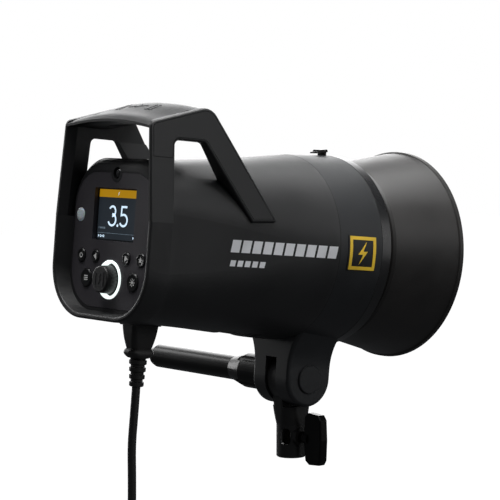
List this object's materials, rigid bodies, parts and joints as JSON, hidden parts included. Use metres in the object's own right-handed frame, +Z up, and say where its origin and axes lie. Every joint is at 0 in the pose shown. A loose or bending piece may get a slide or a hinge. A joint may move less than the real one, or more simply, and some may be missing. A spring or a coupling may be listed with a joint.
{
  "type": "monolight strobe",
  "caption": "Compact studio monolight strobe: black barrel with a framed handle, rear display and knob, tilting yoke on a stand socket, short reflector and a coiled mains lead.",
  "frame": {"origin": "centre of the stand socket's mouth, where a spigot goes in", "axes": "+Z up along the socket's bore, light shines towards -Y, control panel faces +Y, +X is the object's left seen from behind"},
  "size_m": [0.2487, 0.2839, 0.4384],
  "materials": {
    "housing_plastic": "fine-grained matte black moulding",
    "handle_rubber": "soft-touch black",
    "panel_plastic": "satin dark grey",
    "button_rubber": "semi-gloss black",
    "knob_plastic": "matte black",
    "light_ring": "frosted white",
    "display_glass": "clear window",
    "display_body": "dark display",
    "sensor_plastic": "translucent white",
    "photocell": "clear dark dome",
    "board": "circuit board",
    "chassis_metal": "bent sheet",
    "fan_plastic": "black",
    "capacitor_sleeve": "shrink sleeve",
    "ferrite": "dark grey",
    "inlet_plastic": "black",
    "contact_brass": "bright",
    "casting_paint": "matte blue-black paint",
    "bayonet_metal": "glossy black",
    "steel": "brushed",
    "emblem": "black with a gold pattern",
    "base_ceramic": "white",
    "tube_glass": "clear",
    "lamp_phosphor": "yellow phosphor",
    "dome_glass": "clear",
    "reflector_paint": "semi-matte black outside, silver inside",
    "lever_plastic": "glossy black",
    "adapter_metal": "satin black",
    "washer": "fibre",
    "cord_rubber": "matte black",
    "tie_fabric": "woven black"
  },
  "bodies": {
    "stand_adapter": {"stand_adapter": "adapter_metal"},
    "head": {"main_housing": "housing_plastic", "vent_grille": "housing_plastic", "handle_frame": "housing_plastic", "handle_top_plate": "housing_plastic", "handle_inlay_left": "handle_rubber", "handle_inlay_right": "handle_rubber", "control_panel": "panel_plastic", "display_gasket": "panel_plastic", "display_window": "display_glass", "display_module": "display_body", "sensor_cover": "sensor_plastic", "photocell_lens": "photocell", "knob_light_ring": "light_ring", "rotary_encoder": "steel", "control_board": "board", "tact_switches": "fan_plastic", "internal_chassis": "chassis_metal", "fan_frame": "fan_plastic", "capacitors": "capacitor_sleeve", "power_board": "board", "transformer": "ferrite", "heat_sink": "chassis_metal", "mains_inlet": "inlet_plastic", "inlet_pins": "contact_brass", "mains_plug": "cord_rubber", "plug_strain_relief": "cord_rubber", "front_casting": "casting_paint", "bayonet_ring": "bayonet_metal", "emblem_plate": "emblem", "tube_base": "base_ceramic", "base_screws": "steel", "flash_tube": "tube_glass", "modelling_lamp": "lamp_phosphor", "glass_dome": "dome_glass", "pivot_bolt": "steel", "pivot_cap": "casting_paint", "friction_washers": "washer", "housing_screws": "steel", "cord_lead": "cord_rubber", "cord_tail": "cord_rubber", "cord_coil": "cord_rubber", "coil_tie": "tie_fabric", "wall_plug": "cord_rubber", "wall_plug_pins": "contact_brass"},
    "tilt_lever": {"tilt_lever": "lever_plastic"},
    "clamp_pad": {"clamp_pad": "contact_brass"},
    "wing_knob": {"wing_knob": "lever_plastic"},
    "knob_plunger": {"encoder_bushing": "fan_plastic"},
    "control_knob": {"control_knob": "knob_plastic", "encoder_shaft": "steel"},
    "latch": {"latch_slide": "steel"},
    "fan_rotor": {"fan_rotor": "fan_plastic"},
    "reflector": {"reflector": "reflector_paint"},
    "power_button": {"power_button": "button_rubber"},
    "star_button": {"star_button": "button_rubber"},
    "left_button": {"left_button": "button_rubber"},
    "right_button": {"right_button": "button_rubber"},
    "menu_button": {"menu_button": "button_rubber"},
    "lamp_button": {"lamp_button": "button_rubber"}
  },
  "joints": [
    {"name": "head_tilt", "type": "hinge", "parent": "stand_adapter", "child": "head", "pos_m": [0, 0, 0.0594], "axis": [1, 0, 0], "range_deg": [-95, 84]},
    {"name": "tilt_lever_turn", "type": "hinge", "parent": "head", "child": "tilt_lever", "pos_m": [0.05, 0, 0.0594], "axis": [1, 0, 0], "range_deg": [0, 180]},
    {"name": "clamp_pad_slide", "type": "slide", "parent": "stand_adapter", "child": "clamp_pad", "axis": [1, 0, 0], "range_m": [0, 0.0025]},
    {"name": "wing_knob_turn", "type": "hinge", "parent": "clamp_pad", "child": "wing_knob", "pos_m": [-0.02, 0, 0.016], "axis": [1, 0, 0], "range_deg": [0, 720]},
    {"name": "knob_push", "type": "slide", "parent": "head", "child": "knob_plunger", "axis": [0, -0.9957, -0.0924], "range_m": [0, 0.0008], "stiffness_N_per_m": 2500},
    {"name": "knob_turn", "type": "hinge", "parent": "knob_plunger", "child": "control_knob", "pos_m": [0, 0.16372, 0.14037], "axis": [0, -0.9957, -0.0924], "continuous": true},
    {"name": "latch_release", "type": "slide", "parent": "head", "child": "latch", "axis": [0, 0.9957, 0.0924], "range_m": [0, 0.0035], "stiffness_N_per_m": 500},
    {"name": "fan_spin", "type": "hinge", "parent": "head", "child": "fan_rotor", "pos_m": [0, 0.09922, 0.16441], "axis": [0, -0.9957, -0.0924], "continuous": true},
    {"name": "reflector_twist", "type": "hinge", "parent": "head", "child": "reflector", "pos_m": [0, -0.03819, 0.15167], "axis": [0, -0.9957, -0.0924], "range_deg": [0, 20]},
    {"name": "power_button_press", "type": "slide", "parent": "head", "child": "power_button", "axis": [0, -0.9957, -0.0924], "range_m": [0, 0.0006], "stiffness_N_per_m": 1500},
    {"name": "star_button_press", "type": "slide", "parent": "head", "child": "star_button", "axis": [0, -0.9957, -0.0924], "range_m": [0, 0.0006], "stiffness_N_per_m": 1500},
    {"name": "left_button_press", "type": "slide", "parent": "head", "child": "left_button", "axis": [0, -0.9957, -0.0924], "range_m": [0, 0.0006], "stiffness_N_per_m": 1500},
    {"name": "right_button_press", "type": "slide", "parent": "head", "child": "right_button", "axis": [0, -0.9957, -0.0924], "range_m": [0, 0.0006], "stiffness_N_per_m": 1500},
    {"name": "menu_button_press", "type": "slide", "parent": "head", "child": "menu_button", "axis": [0, -0.9957, -0.0924], "range_m": [0, 0.0006], "stiffness_N_per_m": 1500},
    {"name": "lamp_button_press", "type": "slide", "parent": "head", "child": "lamp_button", "axis": [0, -0.9957, -0.0924], "range_m": [0, 0.0006], "stiffness_N_per_m": 1500}
  ],
  "couplings": [
    {"joint": "wing_knob_turn", "follows": "clamp_pad_slide", "rad_per_m": 5026.5}
  ]
}
